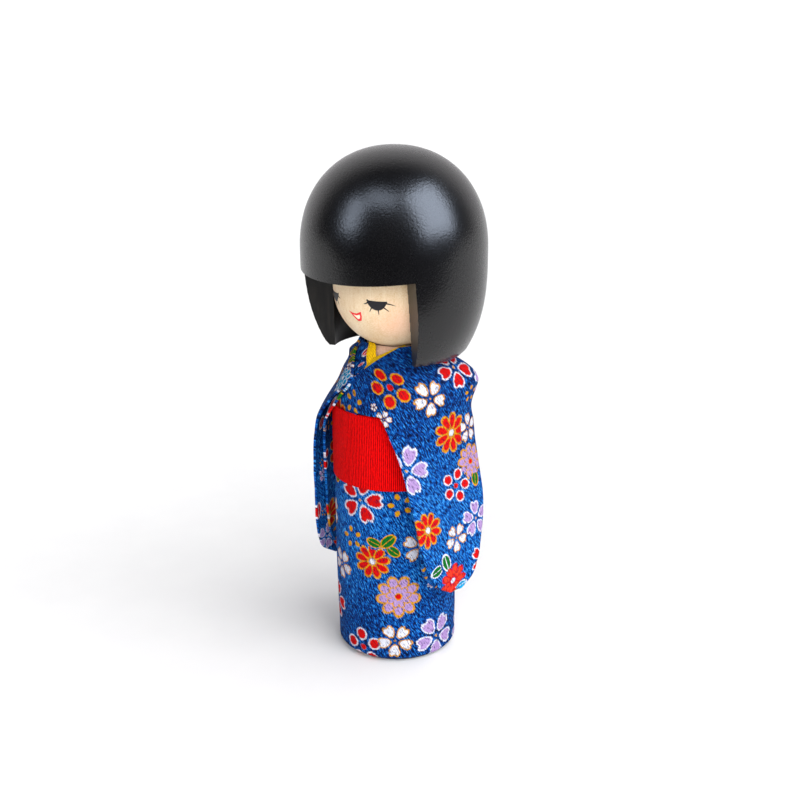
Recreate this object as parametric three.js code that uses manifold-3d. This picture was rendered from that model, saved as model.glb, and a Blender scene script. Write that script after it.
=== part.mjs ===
// A kokeshi: a turned wooden doll dressed in a glued cloth kimono, whose head turns on a dowel.
// Millimetres, +Z up. The doll faces -Y, its left hand side is +X, and the origin is the centre
// of the base, on the surface it stands on. Radii are measured from the doll's upright axis.
import * as THREE from "three";
import { mergeVertices } from "three/addons/utils/BufferGeometryUtils.js";
import Module from "manifold-3d";

const wasm = await Module();
wasm.setup();

// ---- driving dimensions ----
const GAP = 0.3; // space between pieces that are glued or lie on one another
const RUNNING_FIT = 0.08; // radial clearance of the dowel in the wood
const FINE = 72; // facets round the visible turned wood
const COARSE = 48; // facets round everything else

const BALL = { radius: 17.3, centreZ: 110 };

const HAIR = {
  radius: 26.25,
  widestZ: 120.9,
  topZ: 149,
  crownPower: 2.15,
  rimRadius: 20,
  rimZ: 91.35,
  boreRadius: BALL.radius + 0.5,
  fringeZ: 117.9, // height of the fringe's underside over the axis
  fringeSlope: 0.1, // drop of that underside for each millimetre forward
  openingApex: 1.66, // how far in front of the axis the opening's two side cuts meet
  openingHalfAngle: 61.4, // of the opening at the fringe, in degrees
  openingFlare: 0.009, // widening of the opening for each millimetre below the fringe
};

const DOWEL = { radius: 3, bottomZ: 79, topZ: 100.5 };

const BASE = { radius: 15.5, thickness: 0.5 };

const CORE = { radius: 16.5, bottomZ: 1.8, edge: 0.8, neckRadius: 7 };

const SKIRT = { radius: 17.5, thickness: 0.7, topZ: 75, edge: 1.4, hemInset: 6.5 };

const OBI = { innerRadius: SKIRT.radius + GAP, thickness: 0.6, bottomZ: 54.5, topZ: 76.5 };

const KNOT = { halfWidth: 9, depth: 3.4, bottomZ: 57, topZ: 74, round: 3 };
const TAIL = { halfWidth: 6, depth: 1.2, bottomZ: 43.5, round: 1.5 };

// Outer surface of the dressed shoulders, as [radius, height] from the obi up to the neck.
const SHOULDER = [
  [17.9, 76.9],
  [17.2, 80.5],
  [16.1, 84],
  [14.7, 87],
  [12.5, 90.5],
  [11.3, 93],
  [10.2, 94.6],
];
const CLOTH = 0.7; // thickness of one glued layer of the bodice
const LAYER = CLOTH + GAP; // depth from one layer of the bodice to the next
const UNDERCOLLAR_TOP = 94.2;

// The crossing of the two front panels and the line of each neck edge, in the front view.
const CROSSING = [1.2, 89];
const LEFT_NECK = [8.6, 96];
const RIGHT_NECK = [0.2, 96];
const COLLAR_WIDTH = 2; // width of the yellow collar that shows inside each neck edge

// Sleeves: the middle of the cloth at each height, from the front edge round the side to the
// back edge, as [x, y] on the doll's left. The right sleeve is the mirror image down to the waist.
const SLEEVE_LEVELS = [
  { z: 90.5, line: [[10, -10], [13.4, -5.5], [14.4, 1], [10.9, 10.4]] },
  { z: 87, line: [[11.6, -11.8], [15.8, -7], [17.6, 0], [13.7, 12.7]] },
  { z: 84, line: [[12.2, -13.4], [17.3, -8], [19.3, 0], [17.6, 13.3]] },
  { z: 78, line: [[9.5, -17.2], [17.3, -10], [20.3, 0], [18, 13]] },
  { z: 71.6, line: [[12.5, -16.2], [18.3, -9.3], [20.6, 0], [17.8, 12.9]] },
  { z: 66, line: [[15, -15.4], [19, -8.5], [20.8, 0], [18.6, 13.2]] },
  { z: 57, line: [[19, -14.8], [20.3, -7.5], [21, 1], [19.6, 14.3]] },
];

// Below the waist the left sleeve swings out a little and the right one hangs straight, with a
// squarer front corner.
const LEFT_HEM = [
  { z: 46, line: [[21.1, -13.6], [21.6, -6], [21.9, 3], [20.8, 14.8]] },
  { z: 36, line: [[22.6, -12], [22.9, -5], [22.9, 3], [22.4, 12.2]] },
  { z: 29.5, line: [[23.3, -9.8], [23.5, -4], [23.5, 3], [23.2, 9.9]] },
  { z: 25, line: [[23.6, -6.4], [23.7, -2], [23.7, 2.5], [23.5, 7.2]] },
  { z: 22, line: [[23.7, -2.2], [23.7, -0.5], [23.7, 1], [23.7, 3]] },
];
const RIGHT_HEM = [
  { z: 46, line: [[20.8, -13.9], [21.4, -6], [21.6, 3], [20.8, 14.8]] },
  { z: 36, line: [[21.1, -13.6], [21.8, -6], [21.9, 3], [21.5, 13]] },
  { z: 29.5, line: [[21.4, -12.5], [21.9, -6], [22, 3], [21.8, 11.4]] },
  { z: 25, line: [[21.7, -10], [22, -4], [22, 3], [21.9, 8.9]] },
  { z: 22, line: [[22, -5.5], [22, -2], [22, 2], [22, 4.5]] },
];
const SLEEVE_THICK = { front: 1, rest: 2.2 }; // over both layers of the folded cloth
const SLEEVE_STEPS = 12; // pieces that each level's line is divided into

// ---- materials ----
const material = (color, roughness) =>
  new THREE.MeshStandardMaterial({ color, roughness, metalness: 0 });
const PALE_WOOD = material(0xe9cda4, 0.55);
const CORE_WOOD = material(0xc9a583, 0.7);
const LACQUER = material(0x0b0a0c, 0.3);
const PRINT = material(0x0c4ea6, 0.85);
const RED_CLOTH = material(0xe01119, 0.85);
const YELLOW_CLOTH = material(0xe8bd10, 0.8);
const FELT = material(0x2a3044, 0.95);

// ---- solids ----

// A closed three.js geometry as a manifold-3d solid.
function solidOf(geometry) {
  const bare = geometry.index ? geometry.toNonIndexed() : geometry.clone();
  bare.deleteAttribute("normal");
  bare.deleteAttribute("uv");
  const merged = mergeVertices(bare, 1e-4);
  const corners = [];
  for (let i = 0; i < merged.index.count; i += 3) {
    const [a, b, c] = merged.index.array.subarray(i, i + 3);
    if (a !== b && b !== c && c !== a) corners.push(a, b, c);
  }
  return new wasm.Manifold(
    new wasm.Mesh({
      numProp: 3,
      vertProperties: merged.attributes.position.array,
      triVerts: new Uint32Array(corners),
    }),
  );
}

// A manifold-3d solid as a named mesh.
function meshOf(name, solid, finish) {
  const made = solid.getMesh();
  const geometry = new THREE.BufferGeometry();
  geometry.setAttribute("position", new THREE.BufferAttribute(made.vertProperties, 3));
  geometry.setIndex(new THREE.BufferAttribute(made.triVerts, 1));
  geometry.computeVertexNormals();
  const mesh = new THREE.Mesh(geometry, finish);
  mesh.name = name;
  return mesh;
}

// A turned solid: [radius, height] points from the bottom up, on the axis at both ends or closed.
function turned(profile, facets = COARSE) {
  const points = profile.map(([radius, z]) => new THREE.Vector2(radius, z));
  return solidOf(new THREE.LatheGeometry(points, facets).rotateX(Math.PI / 2));
}

// A tube whose wall lies between two profiles of the same heights.
function sleeveOf(outer, inner) {
  return turned([...outer, ...inner.slice().reverse(), outer[0]]);
}

const inset = (profile, depth) => profile.map(([radius, z]) => [radius - depth, z]);

function rod(radius, bottomZ, topZ) {
  return turned([[0, bottomZ], [radius, bottomZ], [radius, topZ], [0, topZ]]);
}

function sphere(radius, centreZ, facets = COARSE) {
  const steps = facets / 2;
  const profile = [];
  for (let i = 0; i <= steps; i++) {
    const angle = (i / steps - 0.5) * Math.PI;
    profile.push([radius * Math.cos(angle), centreZ + radius * Math.sin(angle)]);
  }
  profile[0][0] = 0;
  profile[steps][0] = 0;
  return turned(profile, facets);
}

// A prism standing on an outline drawn in the front view, as [x, z], from backY forward to frontY.
function frontPrism(outline, frontY, backY) {
  const shape = new THREE.Shape(outline.map(([x, z]) => new THREE.Vector2(x, z)));
  const geometry = new THREE.ExtrudeGeometry(shape, {
    depth: backY - frontY,
    bevelEnabled: false,
  });
  return solidOf(geometry.rotateX(Math.PI / 2).translate(0, backY, 0));
}

// A block with rounded edges up its four corners in the front view.
function softBlock(halfWidth, frontY, backY, bottomZ, topZ, round) {
  const corner = (x, z, start) => {
    const points = [];
    for (let i = 0; i <= 3; i++) {
      const angle = start + (i / 3) * (Math.PI / 2);
      points.push([x + round * Math.cos(angle), z + round * Math.sin(angle)]);
    }
    return points;
  };
  const x = halfWidth - round;
  const outline = [
    ...corner(x, topZ - round, 0),
    ...corner(-x, topZ - round, Math.PI / 2),
    ...corner(-x, bottomZ + round, Math.PI),
    ...corner(x, bottomZ + round, 1.5 * Math.PI),
  ];
  return frontPrism(outline, frontY, backY);
}

// ---- head ----

function headBall() {
  const hole = rod(DOWEL.radius + RUNNING_FIT, 0, DOWEL.topZ + GAP);
  return sphere(BALL.radius, BALL.centreZ, FINE).subtract(hole);
}

function hairCap() {
  const sideSteps = 7;
  const crownSteps = 11;
  const profile = [[0, HAIR.rimZ]];
  for (let i = 0; i <= sideSteps; i++) {
    const down = 1 - i / sideSteps;
    const radius = HAIR.radius - (HAIR.radius - HAIR.rimRadius) * down ** 3;
    profile.push([radius, HAIR.widestZ - (HAIR.widestZ - HAIR.rimZ) * down]);
  }
  for (let i = 1; i <= crownSteps; i++) {
    const up = Math.sin((i / crownSteps) * (Math.PI / 2));
    const radius = HAIR.radius * (1 - up ** HAIR.crownPower) ** (1 / HAIR.crownPower);
    profile.push([i === crownSteps ? 0 : radius, HAIR.widestZ + (HAIR.topZ - HAIR.widestZ) * up]);
  }
  const bore = rod(HAIR.boreRadius, HAIR.rimZ - 1, BALL.centreZ).add(
    sphere(HAIR.boreRadius, BALL.centreZ),
  );
  return turned(profile, FINE).subtract(bore).subtract(faceOpening());
}

// The wedge cut out of the hair below the fringe: its top leans down towards the front, and its
// sides spread a little towards the rim.
function faceOpening() {
  const reach = 2 * HAIR.radius;
  const halfWidth = reach * Math.tan(THREE.MathUtils.degToRad(HAIR.openingHalfAngle));
  const height = HAIR.fringeZ - HAIR.rimZ + 5;
  const shape = new THREE.Shape([
    new THREE.Vector2(0, -HAIR.openingApex),
    new THREE.Vector2(-halfWidth, -HAIR.openingApex - reach),
    new THREE.Vector2(halfWidth, -HAIR.openingApex - reach),
  ]);
  const geometry = new THREE.ExtrudeGeometry(shape, { depth: height, bevelEnabled: false });
  const place = geometry.attributes.position;
  for (let i = 0; i < place.count; i++) {
    const below = height - place.getZ(i);
    place.setX(i, place.getX(i) * (1 + HAIR.openingFlare * below));
    place.setZ(i, HAIR.fringeZ - below + HAIR.fringeSlope * place.getY(i));
  }
  return solidOf(geometry);
}

const neckDowel = () => rod(DOWEL.radius, DOWEL.bottomZ, DOWEL.topZ);

// ---- body ----

function bodyCore() {
  const top = BALL.centreZ;
  const neck = CORE.neckRadius;
  const shoulder = inset(SHOULDER, 3 * LAYER).filter(([radius]) => radius > neck + 1);
  const turning = turned([
    [0, CORE.bottomZ],
    [CORE.radius - CORE.edge, CORE.bottomZ],
    [CORE.radius, CORE.bottomZ + CORE.edge],
    [CORE.radius, SKIRT.topZ],
    ...shoulder,
    [neck, shoulder.at(-1)[1] + 1],
    [neck, top],
    [0, top],
  ]);
  const hole = rod(DOWEL.radius + RUNNING_FIT, DOWEL.bottomZ - GAP, top);
  return turning.subtract(sphere(BALL.radius + GAP, BALL.centreZ)).subtract(hole);
}

const baseDisc = () => rod(BASE.radius, 0, BASE.thickness);

// The skirt is a tube with its hem folded under the wood.
function kimonoSkirt() {
  const low = BASE.thickness + GAP;
  const { radius, thickness, topZ, edge, hemInset } = SKIRT;
  const soft = 0.3 * edge;
  return turned([
    [radius - hemInset, low],
    [radius - edge, low],
    [radius - soft, low + soft],
    [radius, low + edge],
    [radius, topZ],
    [radius - thickness, topZ],
    [radius - thickness, low + edge],
    [radius - edge, low + thickness],
    [radius - hemInset, low + thickness],
    [radius - hemInset, low],
  ]);
}

function obiBand() {
  const { innerRadius, thickness, bottomZ, topZ } = OBI;
  const edge = [[innerRadius, bottomZ], [innerRadius, topZ]];
  return sleeveOf(inset(edge, -thickness), edge);
}

function obiKnot() {
  const front = OBI.innerRadius + OBI.thickness + GAP;
  return softBlock(KNOT.halfWidth, front, front + KNOT.depth, KNOT.bottomZ, KNOT.topZ, KNOT.round);
}

function obiTail() {
  const front = OBI.innerRadius + OBI.thickness + GAP;
  const top = KNOT.bottomZ - GAP;
  return softBlock(TAIL.halfWidth, front, front + TAIL.depth, TAIL.bottomZ, top, TAIL.round);
}

// ---- bodice: thin shells cut to the lines of the panels ----

// One layer of the dressed shoulders, counted inwards from the outermost, up to topZ.
function bodiceLayer(depth, topZ = Infinity) {
  const outer = inset(SHOULDER, depth * LAYER);
  const last = SHOULDER.at(-1)[1];
  const trimmed = topZ < last ? [...outer.slice(0, -1), [outer.at(-1)[0] + 0.2, topZ]] : outer;
  return sleeveOf(trimmed, inset(trimmed, CLOTH));
}

// The part of the front view on one side of a panel's edge, side +1 for the doll's left: the
// edge runs from its foot on the obi through the crossing to the neck.
function frontSide(foot, crossing, neck, side) {
  const far = side * 40;
  const outline = [foot, crossing, neck, [far, neck[1]], [far, foot[1]]];
  return frontPrism(side < 0 ? outline : outline.reverse(), -40, 0);
}

// The half of space behind the axis on one side, or between the two side seams.
function backSlice(fromX, toX) {
  const outline = [[fromX, 60], [toX, 60], [toX, 100], [fromX, 100]];
  return frontPrism(outline, 0, 40);
}

const SIDE_SEAM = 9; // half-width of the back panel

function bodiceLeft() {
  const front = frontSide([-10, 75.5], CROSSING, LEFT_NECK, 1);
  return bodiceLayer(0).intersect(front.add(backSlice(SIDE_SEAM + GAP, 40)));
}

function bodiceRight() {
  const front = frontSide([10, 75.5], CROSSING, RIGHT_NECK, -1);
  return bodiceLayer(1).intersect(front.add(backSlice(-40, -SIDE_SEAM - GAP)));
}

const bodiceBack = () => bodiceLayer(0).intersect(backSlice(-SIDE_SEAM, SIDE_SEAM));

// The front view on one side of the line that the yellow collar's edge follows, a collar's width
// inside a neck edge, and less by a gap where another strip lies along it.
function collarSide(neck, side, gap = 0) {
  const away = side * (COLLAR_WIDTH + gap);
  const [x, z] = CROSSING;
  return frontSide([x - away, z - 6], [x - away, z], [neck[0] - away, neck[1]], side);
}

const undercollarLeft = () =>
  bodiceLayer(2, UNDERCOLLAR_TOP).intersect(collarSide(LEFT_NECK, 1));

// The right strip of the yellow collar ends where the left one crosses it.
function undercollarRight() {
  const strip = bodiceLayer(2, UNDERCOLLAR_TOP).intersect(collarSide(RIGHT_NECK, -1));
  return strip.subtract(collarSide(LEFT_NECK, 1, GAP));
}

// ---- sleeves ----

// A folded sleeve: a slab that hangs down the side of the doll, lofted from the levels.
function sleeve(side, hem) {
  const rows = [...SLEEVE_LEVELS, ...hem].map(({ z, line }) => sleeveSection(z, line, side));
  const around = rows[0].length;
  const vertices = rows.flat(2);
  const triangles = [];
  const corner = (row, i) => row * around + (i % around);
  for (let row = 0; row + 1 < rows.length; row++) {
    for (let i = 0; i < around; i++) {
      const [a, b] = [corner(row, i), corner(row, i + 1)];
      const [c, d] = [corner(row + 1, i), corner(row + 1, i + 1)];
      triangles.push(a, c, b, b, c, d);
    }
  }
  for (const row of [0, rows.length - 1]) {
    for (let i = 0; i + 1 < around / 2; i++) {
      const [a, b] = [corner(row, i), corner(row, i + 1)];
      const [c, d] = [corner(row, around - 1 - i), corner(row, around - 2 - i)];
      triangles.push(...(row === 0 ? [a, b, c, b, d, c] : [a, c, b, b, c, d]));
    }
  }
  if (side < 0) triangles.reverse();
  const geometry = new THREE.BufferGeometry();
  geometry.setAttribute("position", new THREE.Float32BufferAttribute(vertices, 3));
  geometry.setIndex(triangles);
  return solidOf(geometry);
}

// One level of a sleeve: its outer line from front to back, then its inner line to the front.
function sleeveSection(z, line, side) {
  const curve = new THREE.CatmullRomCurve3(line.map(([x, y]) => new THREE.Vector3(x, y, 0)));
  const outer = [];
  const inner = [];
  for (let i = 0; i <= SLEEVE_STEPS; i++) {
    const t = i / SLEEVE_STEPS;
    const point = curve.getPointAt(t);
    const tangent = curve.getTangentAt(t);
    const grown = SLEEVE_THICK.front + (SLEEVE_THICK.rest - SLEEVE_THICK.front) * Math.min(1, 4 * t);
    const [nx, ny] = [(tangent.y * grown) / 2, (-tangent.x * grown) / 2];
    outer.push([side * (point.x + nx), point.y + ny, z]);
    inner.push([side * (point.x - nx), point.y - ny, z]);
  }
  return [...outer, ...inner.reverse()];
}

// ---- the doll ----

const head = new THREE.Group();
head.add(
  meshOf("head_ball", headBall(), PALE_WOOD),
  meshOf("hair_cap", hairCap(), LACQUER),
  meshOf("neck_dowel", neckDowel(), CORE_WOOD),
);

const body = new THREE.Group();
body.add(
  meshOf("body_core", bodyCore(), CORE_WOOD),
  meshOf("base_disc", baseDisc(), FELT),
  meshOf("kimono_skirt", kimonoSkirt(), PRINT),
  meshOf("bodice_left", bodiceLeft(), PRINT),
  meshOf("bodice_right", bodiceRight(), PRINT),
  meshOf("bodice_back", bodiceBack(), PRINT),
  meshOf("undercollar_left", undercollarLeft(), YELLOW_CLOTH),
  meshOf("undercollar_right", undercollarRight(), YELLOW_CLOTH),
  meshOf("obi_band", obiBand(), RED_CLOTH),
  meshOf("obi_knot", obiKnot(), RED_CLOTH),
  meshOf("obi_tail", obiTail(), RED_CLOTH),
  meshOf("sleeve_left", sleeve(1, LEFT_HEM), PRINT),
  meshOf("sleeve_right", sleeve(-1, RIGHT_HEM), PRINT),
);

const doll = new THREE.Group();
doll.add(head, body);

export default doll;
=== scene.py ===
import math
import random

import bmesh
import bpy
import numpy as np
from mathutils import Matrix, Vector, noise


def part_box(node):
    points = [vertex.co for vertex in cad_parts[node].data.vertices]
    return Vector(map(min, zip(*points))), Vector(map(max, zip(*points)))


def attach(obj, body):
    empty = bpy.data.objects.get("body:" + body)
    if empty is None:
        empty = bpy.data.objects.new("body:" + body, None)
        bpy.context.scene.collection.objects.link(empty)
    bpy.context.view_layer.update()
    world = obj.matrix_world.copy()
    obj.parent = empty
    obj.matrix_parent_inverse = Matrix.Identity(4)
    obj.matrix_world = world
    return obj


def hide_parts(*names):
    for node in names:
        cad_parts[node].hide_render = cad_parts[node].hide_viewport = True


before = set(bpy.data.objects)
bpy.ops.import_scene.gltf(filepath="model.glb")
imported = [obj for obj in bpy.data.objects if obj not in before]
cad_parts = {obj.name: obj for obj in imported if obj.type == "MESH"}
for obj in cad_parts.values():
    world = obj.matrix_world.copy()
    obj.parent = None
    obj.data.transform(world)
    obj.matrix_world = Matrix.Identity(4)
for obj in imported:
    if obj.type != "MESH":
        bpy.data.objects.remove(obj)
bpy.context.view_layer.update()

# A dressed kokeshi. Outlines below are in millimetres in the doll's own frame: it faces -Y, its
# left hand side is +X, and the origin is the centre of the base. Objects are made in metres.
MM = 0.001


def mm_box(node):
    """Lowest and highest corner of a CAD node, in millimetres."""
    low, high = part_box(node)
    return np.array(low) / MM, np.array(high) / MM


HAIR_LOW, HAIR_HIGH = mm_box("hair_cap")
_, BALL_HIGH = mm_box("head_ball")
SKIRT_LOW, SKIRT_HIGH = mm_box("kimono_skirt")
OBI_LOW, OBI_HIGH = mm_box("obi_band")
KNOT_LOW, KNOT_HIGH = mm_box("obi_knot")
TAIL_LOW, TAIL_HIGH = mm_box("obi_tail")
_, DOWEL_HIGH = mm_box("neck_dowel")

BALL_RADIUS = BALL_HIGH[0]
BALL_Z = BALL_HIGH[2] - BALL_RADIUS
SKIRT_RADIUS = SKIRT_HIGH[0]
OBI_RADIUS = OBI_HIGH[0]

CLOTH = 0.7  # thickness of the printed cloth
FACE_SIZE = 0.6  # size of the cloth meshes' faces
BALL_GAP = 0.5  # between the head ball and the hair
DOWEL_FIT = 0.08  # between the dowel and its bore in the head ball
DOWEL_END_GAP = 0.3  # between the dowel's end and the bore's


# ---------------------------------------------------------------------------------------------
# Curves and grids
# ---------------------------------------------------------------------------------------------

def smooth(knots, values, at):
    """Values along a smooth curve through the given ones, at new places along the knots."""
    knots = np.asarray(knots, float)
    values = np.asarray(values, float)
    at = np.asarray(at, float)
    slopes = np.gradient(values, knots, axis=0)
    i = np.clip(np.searchsorted(knots, at, side="right") - 1, 0, len(knots) - 2)
    span = knots[i + 1] - knots[i]
    t = (at - knots[i]) / span
    shape = (len(at),) + (1,) * (values.ndim - 1)
    t = t.reshape(shape)
    span = span.reshape(shape)
    return (
        (2 * t**3 - 3 * t**2 + 1) * values[i]
        + (t**3 - 2 * t**2 + t) * span * slopes[i]
        + (3 * t**2 - 2 * t**3) * values[i + 1]
        + (t**3 - t**2) * span * slopes[i + 1]
    )


def stations(knots, size):
    """Places along the knots with every knot among them and steps no longer than size."""
    places = [knots[0]]
    for a, b in zip(knots, knots[1:]):
        steps = max(1, math.ceil((b - a) / size))
        places.extend(a + (b - a) * (k + 1) / steps for k in range(steps))
    return np.array(places)


def lofted(levels, size=FACE_SIZE):
    """A fine grid of points through rows of control points. levels is [(z, [(x, y), ...]), ...]
    from the top down. Returns the grid [row, column, xyz] and each control column's index."""
    control = np.array([[(x, y, z) for x, y in row] for z, row in levels], float)
    down = np.concatenate([[0], np.cumsum(-np.diff(control[:, 0, 2]))])
    chords = np.linalg.norm(np.diff(control, axis=1), axis=2).mean(axis=0)
    across = np.concatenate([[0], np.cumsum(chords)])
    rows_at = stations(list(down), size)
    columns_at = stations(list(across), size)
    rows = smooth(down, control, rows_at)
    grid = smooth(across, rows.transpose(1, 0, 2), columns_at).transpose(1, 0, 2)
    return grid, [int(np.argmin(abs(columns_at - a))) for a in across]


def arc_lengths(points, axis):
    steps = np.linalg.norm(np.diff(points, axis=axis), axis=-1)
    start = np.zeros_like(np.take(steps, [0], axis=axis))
    return np.concatenate([start, np.cumsum(steps, axis=axis)], axis=axis)


def cloth_plane(grid, column):
    """Flat coordinates of a grid's points in millimetres: round from one column, and down."""
    around = arc_lengths(grid, 1)
    around = around - around[:, [column]]
    height = -arc_lengths(grid[:, [column]], 0)
    return np.dstack([around, np.broadcast_to(height, around.shape)])


def ripple(point, size, depth):
    """A small smooth unevenness, the same each time."""
    return depth * noise.noise(Vector(point) / size)


def on_circle(radius, azimuth):
    """x and y at a radius and an azimuth in radians, 0 being straight ahead of the doll."""
    return radius * math.sin(azimuth), -radius * math.cos(azimuth)


def add_object(name, data):
    """Puts a mesh, a light or a camera into the scene."""
    piece = bpy.data.objects.new(name, data)
    bpy.context.collection.objects.link(piece)
    return piece


def object_from(edit, name):
    """Ends the editing of a mesh and puts it into the scene."""
    mesh = bpy.data.meshes.new(name)
    edit.to_mesh(mesh)
    edit.free()
    return add_object(name, mesh)


class Sheet:
    """A cloth mesh put together from grids, with flat coordinates of the cloth at each point."""

    def __init__(self):
        self.points = []
        self.flat = []
        self.faces = []

    def add(self, grid, flat, keep=lambda row, column: True, flip=False):
        rows, columns = grid.shape[:2]
        first = len(self.points)
        self.points.extend(map(tuple, grid.reshape(-1, 3)))
        self.flat.extend(map(tuple, flat.reshape(-1, 2)))
        for i in range(rows - 1):
            for j in range(columns - 1):
                if not keep(i, j):
                    continue
                a = first + i * columns + j
                face = (a, a + columns, a + columns + 1, a + 1)
                self.faces.append(face[::-1] if flip else face)

    def build(self, name, uneven=0.1):
        """The mesh object, welded, with the flat coordinates as its map "cloth"."""
        mesh = bpy.data.meshes.new(name)
        shifted = [Vector(p) for p in self.points]
        mesh.from_pydata([p * MM for p in shifted], [], self.faces)
        layer = mesh.uv_layers.new(name="cloth")
        for loop in mesh.loops:
            layer.data[loop.index].uv = self.flat[loop.vertex_index]
        piece = add_object(name, mesh)
        edit = bmesh.new()
        edit.from_mesh(mesh)
        bmesh.ops.remove_doubles(edit, verts=edit.verts, dist=0.02 * MM)
        loose = [v for v in edit.verts if not v.link_faces]
        bmesh.ops.delete(edit, geom=loose, context="VERTS")
        edit.normal_update()
        moved = [(v, v.normal * ripple(v.co / MM, 5, uneven) * MM) for v in edit.verts]
        for v, step in moved:
            v.co += step
        edit.to_mesh(mesh)
        edit.free()
        mesh.shade_smooth()
        return piece


def one_sheet(name, grid, uneven, flat=None, flip=False):
    """A cloth mesh made from a single grid."""
    sheet = Sheet()
    sheet.add(grid, cloth_plane(grid, 0) if flat is None else flat, flip=flip)
    return sheet.build(name, uneven=uneven)


def thicken(piece, thickness=CLOTH, rim=0.24):
    """Gives a sheet its thickness inwards, with softly rounded edges."""
    solid = piece.modifiers.new("thickness", "SOLIDIFY")
    solid.thickness = thickness * MM
    solid.offset = -1
    soften(piece, rim)


def soften(piece, width, segments=2, angle=50):
    """Rounds the edges that are sharper than an angle in degrees."""
    bevel = piece.modifiers.new("soft edge", "BEVEL")
    bevel.width = width * MM
    bevel.segments = segments
    bevel.limit_method = "ANGLE"
    bevel.angle_limit = math.radians(angle)
    bevel.harden_normals = True


def put_on(piece, body, node, materials):
    """Dresses a piece, stands it for its CAD node and lets it ride on its body."""
    for material in materials:
        piece.data.materials.append(material)
    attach(piece, body)
    if node:
        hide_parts(*([node] if isinstance(node, str) else node))


# ---------------------------------------------------------------------------------------------
# Materials
# ---------------------------------------------------------------------------------------------

def linear(red, green, blue):
    """A colour given as it looks on a screen, 0 to 255, as the linear values that nodes take."""
    def one(value):
        value /= 255
        return value / 12.92 if value <= 0.04045 else ((value + 0.055) / 1.055) ** 2.4
    return (one(red), one(green), one(blue), 1.0)


class Value:
    """A node's output that takes part in arithmetic."""

    def __init__(self, shade, socket):
        self.shade = shade
        self.socket = socket

    def __add__(self, other):
        return self.shade.math("ADD", self, other)

    def __sub__(self, other):
        return self.shade.math("SUBTRACT", self, other)

    def __mul__(self, other):
        return self.shade.math("MULTIPLY", self, other)

    def __truediv__(self, other):
        return self.shade.math("DIVIDE", self, other)

    __radd__ = __add__
    __rmul__ = __mul__

    def __rsub__(self, other):
        return self.shade.math("SUBTRACT", other, self)


class Shade:
    """A material under construction: short calls that each add a node."""

    def __init__(self, name, roughness, **constants):
        self.material = bpy.data.materials.new(name)
        self.material.use_nodes = True
        self.nodes = self.material.node_tree.nodes
        self.links = self.material.node_tree.links
        self.shader = self.nodes["Principled BSDF"]
        self.shader.inputs["Roughness"].default_value = roughness
        for socket, value in constants.items():
            self.shader.inputs[socket.replace("_", " ")].default_value = value

    def feed(self, socket, value):
        """Links a value to a socket, or sets a constant on it."""
        if isinstance(value, Value):
            self.links.new(value.socket, socket)
        elif value is not None:
            socket.default_value = value

    def node(self, kind, output=0, inputs=(), **settings):
        node = self.nodes.new(kind)
        for key, value in settings.items():
            setattr(node, key, value)
        for key, value in dict(inputs).items():
            self.feed(node.inputs[key], value)
        return Value(self, node.outputs[output])

    def math(self, operation, a, b=None, c=None, clamp=False):
        inputs = {0: a, 1: b, 2: c}
        return self.node("ShaderNodeMath", inputs=inputs, operation=operation, use_clamp=clamp)

    def below(self, value, edge, soft):
        """1 where value is under edge, 0 over it, with a soft step."""
        inputs = {"Value": value, "From Min": edge + soft / 2, "From Max": edge - soft / 2}
        return self.node("ShaderNodeMapRange", inputs=inputs, interpolation_type="SMOOTHSTEP")

    def mix(self, factor, a, b, blend="MIX"):
        node = self.nodes.new("ShaderNodeMix")
        node.data_type = "RGBA"
        node.blend_type = blend
        self.feed(node.inputs[0], factor)
        self.feed(node.inputs[6], a)
        self.feed(node.inputs[7], b)
        return Value(self, node.outputs[2])

    def ramp(self, factor, stops):
        node = self.nodes.new("ShaderNodeValToRGB")
        elements = node.color_ramp.elements
        while len(elements) < len(stops):
            elements.new(0.5)
        for element, (place, colour) in zip(elements, stops):
            element.position = place
            element.color = colour
        self.feed(node.inputs[0], factor)
        return Value(self, node.outputs[0])

    def uv(self, name):
        return self.node("ShaderNodeUVMap", uv_map=name)

    def here(self):
        return self.node("ShaderNodeTexCoord", output="Object")

    def split(self, vector):
        node = self.nodes.new("ShaderNodeSeparateXYZ")
        self.feed(node.inputs[0], vector)
        return [Value(self, output) for output in node.outputs]

    def join(self, x, y, z=0.0):
        return self.node("ShaderNodeCombineXYZ", inputs={0: x, 1: y, 2: z})

    def stretched(self, vector, turn, sizes):
        """A vector turned in its plane by degrees, then divided by a size each way."""
        turned = self.node(
            "ShaderNodeMapping",
            inputs={"Vector": vector, "Rotation": (0, 0, math.radians(turn))},
        )
        scale = tuple(1 / size for size in sizes)
        return self.node("ShaderNodeMapping", inputs={"Vector": turned, "Scale": scale})

    def noise(self, vector, scale=1.0, detail=2.0, roughness=0.5, distortion=0.0, flat=False):
        inputs = {
            "Vector": vector,
            "Scale": scale,
            "Detail": detail,
            "Roughness": roughness,
            "Distortion": distortion,
        }
        kind = "2D" if flat else "3D"
        return self.node("ShaderNodeTexNoise", inputs=inputs, noise_dimensions=kind)

    def attribute(self, name, output="Fac"):
        return self.node("ShaderNodeAttribute", output=output, attribute_name=name)

    def finish(self, colour, height=None, depth=0.1, roughness=None):
        """Joins the colour, a height in shares of depth (mm) and a roughness to the shader."""
        self.feed(self.shader.inputs["Base Color"], colour)
        if height is not None:
            bump = self.nodes.new("ShaderNodeBump")
            bump.inputs["Strength"].default_value = 1.0
            bump.inputs["Distance"].default_value = depth * MM
            self.feed(bump.inputs["Height"], height)
            self.links.new(bump.outputs[0], self.shader.inputs["Normal"])
        if roughness is not None:
            self.feed(self.shader.inputs["Roughness"], roughness)
        return self.material


CREPE_TURN = 62  # degrees by which the crinkle's streaks slant on the cloth

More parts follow.
